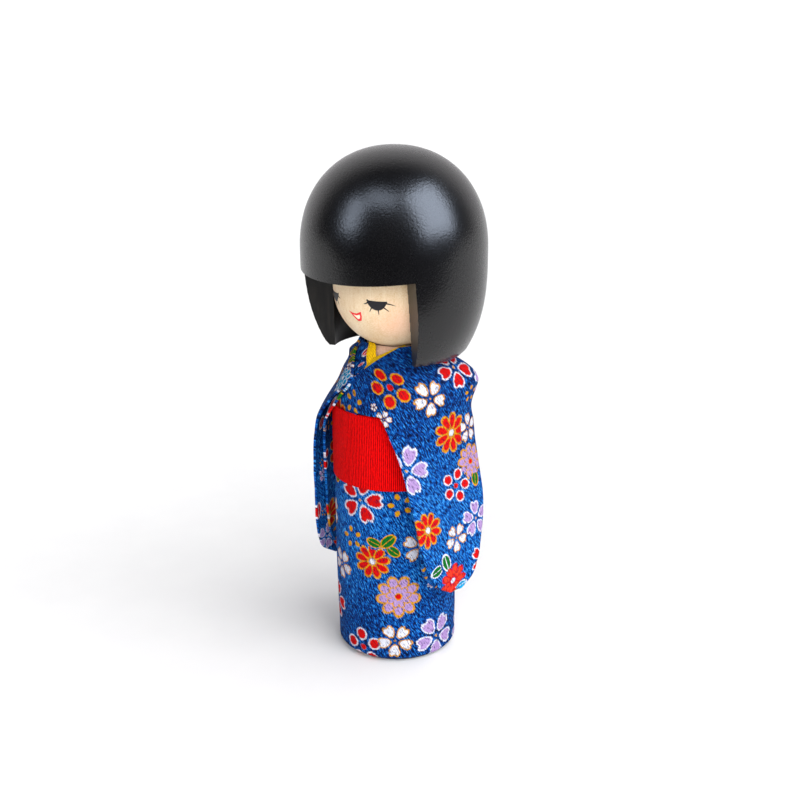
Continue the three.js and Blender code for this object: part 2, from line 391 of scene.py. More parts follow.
# The inks of the print, as they look on a screen.
WHITE = (200, 202, 212)
GOLD = (192, 134, 12)
RED = (188, 6, 4)
ORANGE = (204, 52, 28)
LILAC = (158, 130, 180)
GREEN = (10, 98, 24)
CYAN = (20, 140, 186)


def crepe_noise(shade, cloth):
    """The crinkle of the crepe: short streaks along the crepe's twist."""
    grain_turn = CREPE_TURN + 12
    streaks = shade.noise(
        shade.stretched(cloth, CREPE_TURN, (1.5, 0.36, 1)), detail=2.5, flat=True
    )
    grain = shade.noise(
        shade.stretched(cloth, grain_turn, (0.4, 0.18, 1)), detail=1.0, flat=True
    )
    return streaks * 0.72 + grain * 0.28


def print_cloth():
    """Blue crepe printed with blossoms. Each face knows its blossom: the map "print" gives the
    place in it, in shares of its radius, and the attributes its petals and its colours."""
    shade = Shade("print_crepe", 0.85, Specular_IOR_Level=0.08)
    cloth = shade.uv("cloth")
    crinkle = crepe_noise(shade, cloth)

    # The blue is darker at the shoulders and at the hem than in between: partly a gradation in the dye,
    # partly painted shade.
    tall = 100  # height in millimetres where the curve ends
    height = shade.split(shade.here())[2] * (1 / MM)
    light = shade.node("ShaderNodeFloatCurve", inputs={"Value": height * (1 / tall)})
    curve = light.socket.node.mapping.curves[0]
    curve.points[0].location = (0.0, 0.12)
    curve.points[1].location = (1.0, 0.1)
    for place, value in ((0.14, 0.35), (0.3, 0.7), (0.5, 0.78), (0.66, 0.5), (0.85, 0.16)):
        curve.points.new(place, value)
    cloud = shade.noise(cloth, scale=0.12, detail=2.0, flat=True)
    # The crinkle darkens the blue in its grooves and lightens it on its ridges: painted shade in the
    # grooves, painted highlights on the ridges.
    tone = crinkle * 3.8 - 1.9 + light * 0.42 + cloud * 0.3
    blue = shade.ramp(tone, [
        (0.0, linear(0, 12, 44)),
        (0.28, linear(2, 38, 102)),
        (0.5, linear(3, 70, 148)),
        (0.74, linear(8, 92, 172)),
        (1.0, linear(56, 138, 202)),
    ])

    place = shade.uv("print")
    ragged = 0.14  # how far the crinkle shifts the outlines, in shares of a blossom's radius
    wobble = shade.noise(
        shade.stretched(cloth, CREPE_TURN, (1.1, 0.45, 1)), detail=1.0, flat=True
    )
    x, y, _ = shade.split(place)
    x = x + (wobble - 0.5) * ragged
    y = y + (crinkle - 0.5) * ragged
    distance = shade.math("SQRT", x * x + y * y)
    angle = shade.math("ARCTAN2", y, x)

    count, reach, length = shade.split(shade.attribute("petals", "Vector"))
    width, notch, heart = shade.split(shade.attribute("blossom", "Vector"))
    taper, inner, rim = shade.split(shade.attribute("detail", "Vector"))

    half = shade.math("DIVIDE", math.pi, count)

    def petal_edge(distance, turn):
        """How far a place is outside the nearest petal, in shares of the blossom's radius."""
        folded = shade.math("WRAP", angle + half * turn, half, 0.0 - half)
        along = distance * shade.math("COSINE", folded)
        aside = shade.math("ABSOLUTE", distance * shade.math("SINE", folded))
        narrow = aside / (width * (1 - taper + taper * along * 1.5))
        off = (along - reach) / length
        oval = (shade.math("SQRT", off * off + narrow * narrow) - 1) * width
        notched = (along - notch - aside * 0.6) * 0.75
        return shade.math("MAXIMUM", oval, notched), aside

    edge, aside = petal_edge(distance, 0)
    fold_edge, _ = petal_edge(distance * 1.75, 1)
    soft = 0.05
    rim_over = edge - rim * 0.5
    rim_under = edge + rim * 0.5
    printed = shade.below(rim_over, 0.0, soft)
    filled = shade.below(rim_under, 0.0, soft)
    folds = shade.below(shade.math("ABSOLUTE", fold_edge), 0.035, soft) * inner
    vein = shade.below(aside, 0.045, soft) * shade.below(count, 1.5, 0.5)
    heart_edge = shade.below(distance - heart, 0.0, soft)
    heart_rim = shade.below(distance - heart - rim * 0.8, 0.0, soft) * inner

    fill = shade.attribute("fill", "Color")
    rim_colour = shade.attribute("rim", "Color")
    heart_colour = shade.attribute("heart", "Color")
    # The print's colours are darkened in the crinkle's grooves: painted shade.
    groove_shade = shade.ramp(crinkle, [
        (0.3, (0.36, 0.36, 0.44, 1)),
        (0.46, (0.84, 0.84, 0.88, 1)),
        (0.62, (1, 1, 1, 1)),
    ])
    gap = shade.below(crinkle, 0.4, 0.1) * 0.55
    inked = shade.mix(filled, rim_colour, fill)
    inked = shade.mix(shade.math("MAXIMUM", folds * filled, vein * filled), inked, rim_colour)
    inked = shade.mix(heart_rim, inked, rim_colour)
    inked = shade.mix(heart_edge, inked, heart_colour)
    inked = shade.mix(1.0, inked, groove_shade, "MULTIPLY")
    covered = shade.math("MAXIMUM", printed, heart_edge)
    colour = shade.mix(covered * (1 - gap), blue, inked)
    return shade.finish(colour, crinkle, depth=0.42)


def red_cloth():
    """Red cloth with a fine upright rib."""
    shade = Shade("red_rib", 0.85, Specular_IOR_Level=0.06)
    u, v, _ = shade.split(shade.uv("cloth"))
    warp = shade.noise(shade.join(u * 0.8, v * 0.25), detail=2.0, flat=True)
    pitch = 0.56
    rib = shade.math("SINE", (u + warp * 0.35) * (2 * math.pi / pitch)) * 0.5 + 0.5
    thread = shade.noise(shade.join(u * 2.4, v * 1.1), detail=2.0, flat=True)
    height = rib * 0.7 + thread * 0.6
    colour = shade.ramp(height, [
        (0.3, linear(104, 0, 1)),
        (0.6, linear(196, 1, 2)),
        (1.1, linear(228, 3, 4)),
    ])
    return shade.finish(colour, height, depth=0.16)


def yellow_cloth():
    """Yellow twill: slanting ridges."""
    shade = Shade("yellow_twill", 0.8, Specular_IOR_Level=0.1)
    u, v, _ = shade.split(shade.uv("cloth"))
    warp = shade.noise(shade.join(u, v), scale=1.4, detail=2.0, flat=True)
    pitch = 0.8
    slant = u * 0.8 + v * 1.3 + warp * 0.4
    ridge = shade.math("SINE", slant * (2 * math.pi / pitch)) * 0.5 + 0.5
    height = ridge * 0.7 + warp * 0.5
    colour = shade.ramp(height, [
        (0.2, linear(120, 80, 2)),
        (0.5, linear(206, 156, 4)),
        (0.9, linear(232, 192, 16)),
    ])
    return shade.finish(colour, height, depth=0.12)


def lacquer():
    """Satin black lacquer, faintly grained, over turned wood."""
    shade = Shade("black_lacquer", 0.3, Specular_IOR_Level=0.5)
    place = shade.here()
    speck = shade.noise(place, scale=1 / (0.55 * MM), detail=2.0)
    z = shade.split(place)[2]
    rings = shade.noise(shade.join(0.0, 0.0, z * (1 / (0.9 * MM))), detail=2.0)
    patch = shade.noise(place, scale=1 / (14 * MM), detail=3.0)
    colour = shade.mix(patch, linear(5, 5, 6), linear(12, 11, 12))
    height = speck * 0.85 + rings * 0.25
    rough = 0.2 + patch * 0.08 + speck * 0.06
    return shade.finish(colour, height, depth=0.06, roughness=rough)


def cut_lacquer():
    """The same lacquer, thin over the sawn faces, where the grain shows through."""
    shade = Shade("cut_lacquer", 0.4, Specular_IOR_Level=0.36)
    place = shade.here()
    grain = shade.noise(shade.stretched(place, 0, (1.2 * MM, 1.2 * MM, 9 * MM)), detail=4.0)
    speck = shade.noise(place, scale=1 / (0.4 * MM), detail=2.0)
    colour = shade.ramp(grain, [
        (0.3, linear(9, 8, 8)),
        (0.6, linear(22, 20, 18)),
        (0.8, linear(36, 32, 28)),
    ])
    return shade.finish(colour, grain * 0.6 + speck * 0.4, depth=0.06)


def wood(name, dark, mid, pale, blush=None):
    """Turned close-grained wood. The grain runs up the doll, with a faint fleck."""
    shade = Shade(name, 0.5, Specular_IOR_Level=0.35)
    place = shade.here()
    grain = shade.noise(
        shade.stretched(place, 0, (0.9 * MM, 0.9 * MM, 8 * MM)), detail=3.0, distortion=0.4
    )
    broad = shade.noise(shade.stretched(place, 0, (6 * MM, 6 * MM, 30 * MM)), detail=2.0)
    fleck = shade.noise(place, scale=1 / (0.35 * MM), detail=2.0)
    tone = grain * 0.22 + broad * 0.33 + fleck * 0.45
    colour = shade.ramp(tone, [(0.36, dark), (0.5, mid), (0.64, pale)])
    if blush:
        tint, spots, size = blush
        for spot in spots:
            offset = shade.node(
                "ShaderNodeVectorMath", inputs={0: place, 1: spot}, operation="SUBTRACT"
            )
            far = shade.node(
                "ShaderNodeVectorMath", output="Value", inputs={0: offset}, operation="LENGTH"
            )
            colour = shade.mix(shade.below(far, size * 0.5, size) * 0.5, colour, tint)
    return shade.finish(colour, grain * 0.5 + fleck * 0.5, depth=0.03, roughness=0.42 + fleck * 0.16)


def felt():
    """Dark felt with a tangle of short fibres."""
    shade = Shade("dark_felt", 0.95, Sheen_Weight=0.3)
    fibre = shade.noise(shade.here(), scale=1 / (0.3 * MM), detail=4.0, distortion=1.5)
    colour = shade.mix(fibre, linear(26, 30, 44), linear(64, 70, 92))
    return shade.finish(colour, fibre, depth=0.2)


def paint(name, colour, shine):
    """A brushed stroke of paint, a little uneven in its depth of colour."""
    shade = Shade(name, 0.5, Specular_IOR_Level=shine)
    streak = shade.noise(shade.here(), scale=1 / (0.5 * MM), detail=3.0)
    thin = tuple(min(1, c * 1.6 + 0.01) for c in colour[:3]) + (1,)
    return shade.finish(shade.mix(streak, colour, thin), streak, depth=0.02)


# ---------------------------------------------------------------------------------------------
# The print: blossoms placed on the flat cloth
# ---------------------------------------------------------------------------------------------

# Petals: how many, distance of a petal's middle from the blossom's, half its length, half its
# width, where its tip is notched, radius of the heart, taper, folds drawn inside, outline's width.
SHAPES = {
    "cherry": (5, 0.62, 0.37, 0.29, 0.86, 0.06, 0.5, 0, 0.06),
    "plum": (5, 0.68, 0.30, 0.28, 9, 0.16, 0.1, 0, 0.075),
    "dots": (5, 0.68, 0.21, 0.16, 9, 0.01, 0.1, 0, 0.06),
    "daisy": (9, 0.62, 0.40, 0.21, 9, 0.17, 0.5, 0, 0.065),
    "peony": (9, 0.55, 0.46, 0.24, 9, 0.13, 0.4, 1, 0.07),
    "leaf": (1, 0.0, 0.95, 0.58, 9, 0.01, 0.0, 0, 0.13),
}

# Each kind of blossom: its shape and the colours of its petals, outline and heart.
KINDS = {
    "red_cherry": ("cherry", RED, WHITE, GOLD),
    "white_cherry": ("cherry", WHITE, GOLD, GOLD),
    "lilac_cherry": ("cherry", LILAC, WHITE, GOLD),
    "gold_plum": ("plum", RED, GOLD, RED),
    "white_plum": ("plum", RED, WHITE, RED),
    "gold_dots": ("dots", GOLD, GOLD, GOLD),
    "daisy": ("daisy", RED, GOLD, WHITE),
    "orange_daisy": ("daisy", ORANGE, RED, WHITE),
    "peony": ("peony", LILAC, GOLD, RED),
    "leaf": ("leaf", GREEN, GOLD, GREEN),
    "pale_leaf": ("leaf", GREEN, WHITE, GREEN),
    "cyan_leaf": ("leaf", CYAN, WHITE, CYAN),
    "cyan_peony": ("peony", CYAN, WHITE, WHITE),
    "red_leaf": ("leaf", RED, WHITE, RED),
}

FILLER = [
    ("red_cherry", 6.0),
    ("white_cherry", 5.0),
    ("lilac_cherry", 6.0),
    ("gold_plum", 5.0),
    ("white_plum", 4.6),
    ("daisy", 5.2),
    ("peony", 6.2),
    ("gold_dots", 3.2),
]


TRIES = 2500  # blossoms thrown on each piece
BETWEEN = 0.5  # least distance between two blossoms


def fill_in(placed, low, high, seed, planned):
    """More blossoms between the placed ones, thrown at random where there is room, and outside
    the planned stretch of the cloth (u from, u to, v from, v to)."""
    draw = random.Random(seed)
    blossoms = list(placed)
    for _ in range(TRIES):
        kind, radius = FILLER[draw.randrange(len(FILLER))]
        u = draw.uniform(low[0], high[0])
        v = draw.uniform(low[1], high[1])
        if planned and planned[0] < u < planned[1] and planned[2] < v < planned[3]:
            continue
        clear = all(
            math.hypot(u - other[1], v - other[2]) > radius + other[3] + BETWEEN
            for other in blossoms
        )
        if clear:
            blossoms.append((kind, u, v, radius, draw.uniform(0, 360)))
    return blossoms


def print_blossoms(piece, placed, seed, period=None, planned=None):
    """Gives each face of a cloth piece its nearest blossom. A placed blossom is (kind, u, v,
    radius, turn in degrees). A piece that closes on itself repeats its print after a period."""
    mesh = piece.data
    flat = mesh.uv_layers["cloth"].data
    corners = np.array([flat[i].uv[:] for i in range(len(mesh.loops))])
    blossoms = fill_in(placed, corners.min(axis=0), corners.max(axis=0), seed, planned)
    if period:
        blossoms += [(k, u + s * period, *rest) for k, u, *rest in blossoms for s in (-1, 1)]
    centres = np.array([(b[1], b[2]) for b in blossoms])
    radii = np.array([b[3] for b in blossoms])
    middles = np.array([corners[list(face.loop_indices)].mean(axis=0) for face in mesh.polygons])
    away = np.linalg.norm(middles[:, None] - centres[None], axis=2) / radii
    near = away.argmin(axis=1)

    local = np.zeros((len(corners), 2))
    for face in mesh.polygons:
        _, u, v, radius, turn = blossoms[near[face.index]]
        cos, sin = math.cos(math.radians(turn)), math.sin(math.radians(turn))
        loops = list(face.loop_indices)
        du = (corners[loops, 0] - u) / radius
        dv = (corners[loops, 1] - v) / radius
        local[loops] = np.stack([du * cos + dv * sin, dv * cos - du * sin], axis=1)
    mesh.uv_layers.new(name="print")
    mesh.uv_layers["print"].data.foreach_set("uv", local.ravel())

    kinds = [KINDS[blossoms[k][0]] for k in near]
    numbers = np.array([SHAPES[shape] for shape, *_ in kinds], float)
    for name, start in (("petals", 0), ("blossom", 3), ("detail", 6)):
        layer = mesh.attributes.new(name, "FLOAT_VECTOR", "FACE")
        layer.data.foreach_set("vector", numbers[:, start:start + 3].ravel())
    for name, part in (("fill", 1), ("rim", 2), ("heart", 3)):
        colours = np.array([linear(*kind[part]) for kind in kinds])
        layer = mesh.attributes.new(name, "FLOAT_COLOR", "FACE")
        layer.data.foreach_set("color", colours.ravel())


# ---------------------------------------------------------------------------------------------
# Head
# ---------------------------------------------------------------------------------------------

def lathe(name, profile, segments):
    """A turned mesh from [radius, z] points, closed on itself or ending on the axis."""
    edit = bmesh.new()
    rings = []
    for radius, z in profile:
        if radius < 1e-6:
            rings.append([edit.verts.new((0, 0, z * MM))])
            continue
        ring = []
        for i in range(segments):
            angle = 2 * math.pi * i / segments
            ring.append(edit.verts.new(
                (radius * MM * math.cos(angle), radius * MM * math.sin(angle), z * MM)
            ))
        rings.append(ring)
    for low, high in zip(rings, rings[1:]):
        for i in range(segments):
            k = (i + 1) % segments
            if len(low) == 1:
                edit.faces.new((low[0], high[k], high[i]))
            elif len(high) == 1:
                edit.faces.new((low[i], low[k], high[0]))
            else:
                edit.faces.new((low[i], low[k], high[k], high[i]))
    return object_from(edit, name)


def apply_modifiers(piece):
    """Makes a piece's own mesh what its modifiers show."""
    graph = bpy.context.evaluated_depsgraph_get()
    graph.update()
    mesh = bpy.data.meshes.new_from_object(piece.evaluated_get(graph))
    piece.modifiers.clear()
    piece.data = mesh


HAIR = {
    "widest": 120.9,  # height where it is widest
    "crown_power": 2.15,  # how full the crown is: 2 is an ellipse
    "rim_radius": 20,
    "fringe": 117.7,  # height of the fringe over the apex
    "fringe_slope": 0.1,  # how much lower the fringe is for each millimetre forward
    "apex": 1.66,  # how far in front of the axis the opening's sides would meet
    "half_angle": 59.6,  # degrees from straight ahead to each side of the opening
    "flare": 0.009,  # how much wider the opening is for each millimetre down
}


def hair_profile(side_steps=24, crown_steps=36):
    """The turned outline, from the rim up to the crown."""
    radius, widest = HAIR_HIGH[0], HAIR["widest"]
    rim, top = HAIR_LOW[2], HAIR_HIGH[2]
    power = HAIR["crown_power"]
    edge = 0.5
    profile = [(0, rim), (HAIR["rim_radius"] - edge, rim)]
    for i in range(side_steps + 1):
        down = 1 - i / side_steps
        r = radius - (radius - HAIR["rim_radius"]) * down**3
        z = widest - (widest - rim) * down
        profile.append((r, z + edge * (1 if i == 0 else 0)))
    for i in range(1, crown_steps):
        up = math.sin(i / crown_steps * math.pi / 2)
        profile.append((radius * (1 - up**power) ** (1 / power), widest + (top - widest) * up))
    profile.append((0, top))
    return profile


def face_opening():
    """The wedge sawn out below the fringe."""
    reach = 2 * HAIR_HIGH[0]
    spread = reach * math.tan(math.radians(HAIR["half_angle"]))
    past_rim = 5
    height = HAIR["fringe"] - HAIR_LOW[2] + past_rim
    levels = 13
    front, apex = -HAIR["apex"] - reach, -HAIR["apex"]
    edit = bmesh.new()
    rows = []
    for below in np.linspace(height, 0, levels):
        wide = 1 + HAIR["flare"] * below
        row = []
        for x, y in ((0, apex), (-spread, front), (spread, front)):
            z = HAIR["fringe"] - below + HAIR["fringe_slope"] * y
            row.append(edit.verts.new(Vector((x * wide, y, z)) * MM))
        rows.append(row)
    edit.faces.new(rows[0][::-1])
    edit.faces.new(rows[-1])
    for low, high in zip(rows, rows[1:]):
        for i in range(3):
            k = (i + 1) % 3
            edit.faces.new((low[i], low[k], high[k], high[i]))
    bmesh.ops.recalc_face_normals(edit, faces=edit.faces)
    return object_from(edit, "face_opening")


def cut(piece, *cutters):
    """Takes the cutters' shapes out of a piece and removes them from the scene."""
    for cutter in cutters:
        step = piece.modifiers.new("cut", "BOOLEAN")
        step.operation = "DIFFERENCE"
        step.solver = "EXACT"
        step.object = cutter
    apply_modifiers(piece)
    for cutter in cutters:
        bpy.data.objects.remove(cutter)


def make_hair(body_material, cut_material):
    """The turned hair, hollowed for the head ball and sawn open for the face. Its sawn faces and
    its rounded edges have the material in the second slot."""
    hair = lathe("hair", hair_profile(), segments=224)
    bore_radius = BALL_RADIUS + BALL_GAP
    foot = HAIR_LOW[2] - 2
    bore = [(0, foot), (bore_radius, foot)]
    steps = 24
    for i in range(steps + 1):
        angle = i / steps * math.pi / 2
        bore.append((bore_radius * math.cos(angle), BALL_Z + bore_radius * math.sin(angle)))
    bore[-1] = (0, BALL_Z + bore_radius)
    hollow = lathe("bore", bore, segments=160)
    opening = face_opening()
    for piece in (hair, hollow, opening):
        piece.data.materials.append(body_material)
        piece.data.materials.append(cut_material)
    for cutter in (hollow, opening):
        for face in cutter.data.polygons:
            face.material_index = 1
    cut(hair, hollow, opening)
    edit = bmesh.new()
    edit.from_mesh(hair.data)
    bmesh.ops.remove_doubles(edit, verts=edit.verts, dist=0.05 * MM)
    bmesh.ops.dissolve_degenerate(edit, edges=edit.edges, dist=0.02 * MM)
    edit.to_mesh(hair.data)
    edit.free()
    sawn = [face.material_index for face in hair.data.polygons]
    hair.data.materials.clear()
    hair.data.polygons.foreach_set("material_index", sawn)
    hair.data.shade_smooth()
    soften(hair, 0.26, segments=3, angle=38)
    hair.modifiers["soft edge"].material = 1
    put_on(hair, "head", "hair_cap", [body_material, cut_material])


def make_ball(material):
    """The head ball, with the bore that the neck's dowel goes into."""
    bore = DOWEL_HIGH[0] + DOWEL_FIT
    top = DOWEL_HIGH[2] + DOWEL_END_GAP
    steps = 96
    profile = [(0, top), (bore, top)]
    start = -math.acos(bore / BALL_RADIUS)
    for i in range(steps + 1):
        angle = start + (math.pi / 2 - start) * i / steps
        profile.append((BALL_RADIUS * math.cos(angle), BALL_Z + BALL_RADIUS * math.sin(angle)))
    profile[-1] = (0, BALL_Z + BALL_RADIUS)
    ball = lathe("face_ball", profile, segments=192)
    ball.data.shade_smooth()
    ball.data.set_sharp_from_angle(angle=math.radians(50))
    put_on(ball, "head", "head_ball", [material])


def on_ball(azimuth, elevation, proud=0.0):
    """A point on the head ball. Azimuth 0 is straight ahead, and grows to the doll's left."""
    a, e = math.radians(azimuth), math.radians(elevation)
    radius = BALL_RADIUS + proud
    return Vector((
        radius * math.sin(a) * math.cos(e),
        -radius * math.cos(a) * math.cos(e),
        BALL_Z + radius * math.sin(e),
    )) * MM


def round_outline(points, per_span=5):
    """A smooth closed outline through points given as (azimuth, elevation)."""
    looped = [points[-2], points[-1], *points, points[0], points[1]]
    at = np.linspace(2, 2 + len(points), per_span * len(points) + 1)[:-1]
    return smooth(range(len(looped)), looped, at)


def stroke(points, widths):
    """The outline of a brush stroke along points (azimuth, elevation), as wide as given."""
    count = 9
    line = smooth(range(len(points)), points, np.linspace(0, len(points) - 1, count))
    wide = np.interp(np.linspace(0, 1, count), np.linspace(0, 1, len(widths)), widths)
    along = np.gradient(line, axis=0)
    normal = np.stack([-along[:, 1], along[:, 0]], axis=1)
    normal /= np.linalg.norm(normal, axis=1)[:, None]
    side = normal * wide[:, None] / 2
    return np.concatenate([line + side, (line - side)[::-1]])


def painted(name, outlines, material, proud=0.03, holes=()):
    """Paint on the ball: filled outlines, laid on its curve as a thin closed film."""
    longest_edge = 1.6
    edit = bmesh.new()
    for outline in outlines:
        edges = []
        for ring in [outline, *holes]:
            verts = [edit.verts.new((a, e, 0)) for a, e in ring]
            edges += [edit.edges.new((verts[i], verts[i - 1])) for i in range(len(verts))]
        bmesh.ops.triangle_fill(edit, use_beauty=True, edges=edges)
    for _ in range(2):
        long_edges = [e for e in edit.edges if e.calc_length() > longest_edge]
        if long_edges:
            bmesh.ops.subdivide_edges(edit, edges=long_edges, cuts=1)
            bmesh.ops.triangulate(edit, faces=edit.faces)
    for vert in edit.verts:
        vert.co = on_ball(vert.co.x, vert.co.y, proud)
    centre = Vector((0, 0, BALL_Z * MM))
    edit.normal_update()
    for face in edit.faces:
        if face.normal.dot(face.calc_center_median() - centre) < 0:
            face.normal_flip()
    piece = object_from(edit, name)
    piece.data.shade_smooth()
    film = piece.modifiers.new("film", "SOLIDIFY")
    film.thickness = (proud + 0.02) * MM
    film.offset = -1
    put_on(piece, "head", None, [material])


# The left eye: a half disc with a straight, slightly drooping lid, and five lashes, each from
# its root to its tip. All as (azimuth, elevation) in degrees.
EYE = [
    (18.4, -1.4), (19.0, -3.2), (20.4, -6.2), (23.4, -9.2), (27.4, -10.8),
    (31.6, -10.4), (35.0, -8.0), (37.2, -4.6), (38.0, -2.4), (36.4, -2.1),
]
EYE_LID = [(30.0, -2.2), (24.0, -1.9), (20.6, -1.8), (19.4, -1.0)]
LASHES = [
    [(19.6, -3.8), (17.6, -5.0), (15.4, -5.6)],
    [(23.6, -7.8), (22.0, -10.6), (20.9, -12.8)],
    [(29.4, -10.0), (29.7, -12.8), (29.8, -15.4)],
    [(34.2, -7.6), (37.0, -9.6), (39.6, -11.6)],
    [(36.6, -4.0), (41.0, -4.8), (45.4, -6.2)],
]
MOUTH_OUTER = [(-4.0, -15.2), (0.6, -16.5), (5.4, -16.6), (11.2, -14), (11.3, -18.8),
               (9.8, -23.5), (5.6, -24.9), (1.7, -21.5), (-0.9, -18.6)]
MOUTH_INNER = [(0.7, -18.2), (5.2, -18.5), (9.2, -17.2), (9.3, -19.2),
               (8.0, -21.6), (5.8, -22.6), (3.4, -20.5)]


LASH_WIDTHS = [1.3, 1.1, 0.8, 0.3]


def make_face(black, red, cream):
    """Two closed eyes with lashes and a small open mouth, painted on the head ball."""
    eye = [*EYE, *EYE_LID]
    for name, side in (("left", 1), ("right", -1)):
        outlines = [round_outline([(side * a, e) for a, e in eye], 3)]
        for lash in LASHES:
            outlines.append(stroke([(side * a, e) for a, e in lash], LASH_WIDTHS))
        painted(f"eye_{name}", outlines[:1], black)
        painted(f"lashes_{name}", outlines[1:], black, proud=0.035)
    painted("mouth_line", [MOUTH_OUTER], red, holes=[MOUTH_INNER])
    painted("mouth", [MOUTH_INNER], cream, proud=0.02)


# ---------------------------------------------------------------------------------------------
# Kimono
# ---------------------------------------------------------------------------------------------

# Rows of the left front and sleeve from the neck down: the panel's edge, the chest, the sleeve's
# front edge, the front of the arm, the side, the back fold, and the seam on the back panel.
LEFT_OUTER = [
    (94.6, [(8, -6.2), (8.8, -5.2), (9.4, -4), (10.1, -1.5), (10.2, 1.5), (6.9, 7.6), (5, 9.2)]),
    (92.5, [(5.8, -9.9), (7.9, -8.5), (9.6, -6.7), (11.4, -2.9), (11.8, 1.5), (8.4, 8.4), (6, 10.2)]),
    (90.5, [(3.5, -12.1), (7.1, -11.2), (10.2, -9.6), (13.2, -5), (14.3, 1), (11, 9.9), (7, 11)]),
    (88.5, [(1.3, -13.6), (6.2, -13), (10.8, -10.8), (14.9, -6), (16.5, 0.5), (14.6, 12), (8, 12.3)]),
    (86.5, [(-1, -14.9), (5.4, -14.5), (11.2, -12), (16.2, -7), (18.2, 0.3), (17.2, 13.5), (8.8, 13.3)]),
    (84, [(-3.3, -15.8), (4.5, -15.8), (11, -13.7), (17.2, -8.3), (19.4, 0), (19, 14), (10, 14)]),
    (81, [(-5.8, -16.1), (3.2, -17), (10.2, -15.6), (17.4, -9.4), (20, 0), (18.5, 13.9), (11, 13.6)]),
    (77, [(-9, -15.7), (0.8, -18.2), (10.1, -16.7), (17.4, -10), (20.3, 0), (17.5, 13.2), (12, 12)]),
    (75.4, [(-9.6, -14.9), (0.8, -17.7), (11, -16.35), (17.6, -9.8), (20.4, 0), (17.4, 13.1), (12, 12)]),
    (71.6, [(0, -18), (6, -17.5), (12.9, -15.9), (18.3, -9.3), (20.7, 0), (17.8, 13.6), (13, 12)]),
    (66, [(4, -17), (9, -16.5), (15.7, -15.4), (19, -8.5), (20.9, 0), (18.6, 13.7), (14, 12)]),
    (57, [(10, -17), (14, -16.5), (18.8, -14.8), (20.4, -7.5), (21.1, 1), (19.7, 14.4), (15, 12)]),
    (46, [(14, -16), (17, -15.5), (21, -13.5), (21.6, -6), (21.9, 3), (20.8, 15), (16, 12)]),
    (36, [(16, -15), (19, -14), (22.6, -12), (22.9, -5), (22.9, 3), (22.2, 12.6), (17, 11)]),
    (30, [(18, -13), (20, -12), (23.3, -9.8), (23.5, -4), (23.5, 3), (23.2, 9.9), (18, 9)]),
    (25.8, [(19, -9), (21, -8), (23.6, -6.4), (23.7, -2), (23.7, 2.5), (23.5, 7.2), (19, 7)]),
    (23, [(20, -4), (22, -3), (23.5, -2.2), (23.6, -0.5), (23.6, 1), (23.4, 3), (20, 3)]),
]
RIGHT_OUTER = [
    (94.6, [(7.6, -7), (8.6, -5.6), (9.4, -4), (10.1, -1.5), (10.2, 1.5), (6.9, 7.6), (5, 9.2)]),
    (92.5, [(6.4, -9.9), (8.2, -8.2), (9.6, -6.4), (11.4, -2.9), (11.8, 1.5), (8.4, 8.4), (6, 10.2)]),
    (90.5, [(4.6, -12.4), (7.4, -10.6), (10.2, -8.2), (13.2, -5), (14.3, 1), (11, 9.9), (7, 11)]),
    (88.5, [(3.4, -14), (7, -12), (10.6, -8.3), (14.5, -4), (16.5, 1.5), (14.6, 12), (8, 12.3)]),
    (86.5, [(2.2, -15.4), (7, -13), (11, -9), (15, -4.5), (18.2, 1), (17.2, 13.5), (8.8, 13.3)]),
    (84, [(2.6, -16.8), (7.4, -14.3), (12, -9.6), (16.4, -5), (19.4, 0.6), (19, 14), (10, 14)]),
    (81, [(6.8, -17.2), (10.4, -13.7), (13.4, -10.4), (17.2, -6), (20, 0), (18.5, 13.9), (11, 13.6)]),
    (77, [(10.2, -17.9), (13, -15.2), (15.4, -12.6), (18, -8.5), (20.6, 0), (17.5, 13.2), (12, 12)]),
    (71.6, [(14.2, -18), (15.8, -16.4), (17, -14.6), (19.2, -8.5), (20.8, 0), (17.8, 13.6), (13, 12)]),
    (66, [(16.8, -16.9), (18.2, -15), (19.2, -13), (20.2, -8), (21, 0), (18.6, 13.7), (14, 12)]),
    (57, [(18.6, -15.9), (19.7, -13.8), (20.3, -11.5), (20.9, -7), (21.3, 1), (19.7, 14.4), (15, 12)]),
    (46, [(19.6, -14.9), (20.4, -13), (20.8, -10.8), (21.4, -6.5), (21.6, 3), (20.8, 15), (16, 12)]),
    (36, [(20.1, -14.2), (20.9, -12.2), (21.3, -10), (21.8, -6), (21.9, 3), (21.5, 13), (17, 11)]),
    (30, [(20.9, -12.6), (21.4, -10.8), (21.6, -9), (21.9, -5.4), (22, 3), (21.8, 11.4), (18, 9)]),
    (25.8, [(21.6, -10), (21.8, -8.6), (21.9, -7.2), (22, -4), (22, 3), (21.9, 8.9), (19, 7)]),
    (23, [(21.9, -5.5), (21.9, -4.6), (21.9, -3.6), (21.9, -2), (21.9, 2), (21.8, 4.5), (20, 3)]),
]

# Front edge of each sleeve's inner layer, by height.
LEFT_INNER_EDGE = {
    94.6: (8, -3), 92.5: (8, -6), 90.5: (8.5, -8.5), 88.5: (9, -10), 86.5: (9.5, -11.5),
    84: (10, -13.5), 81: (10.5, -15), 77: (11, -15.4), 75.4: (11.4, -15.2), 71.6: (13.4, -13.6),
    66: (15.4, -13), 57: (17.8, -12.2), 46: (19.4, -11.6), 36: (20.9, -11.8), 30: (21.6, -10.8),
    25.8: (22, -7), 23: (22.9, -2.2),
}
RIGHT_INNER_EDGE = {
    94.6: (5, -8), 92.5: (4, -10), 90.5: (3, -12), 88.5: (1.5, -14), 86.5: (0.6, -15.2),
    84: (1.4, -16.2), 81: (3.8, -16.9), 77: (6.6, -17.7), 71.6: (11, -17.2), 66: (14.4, -14.6),
    57: (16.4, -12.9), 46: (17.9, -11.2), 36: (18.9, -9.8), 30: (19.6, -8), 25.8: (20.4, -5),
    23: (21.2, -3.4),
}
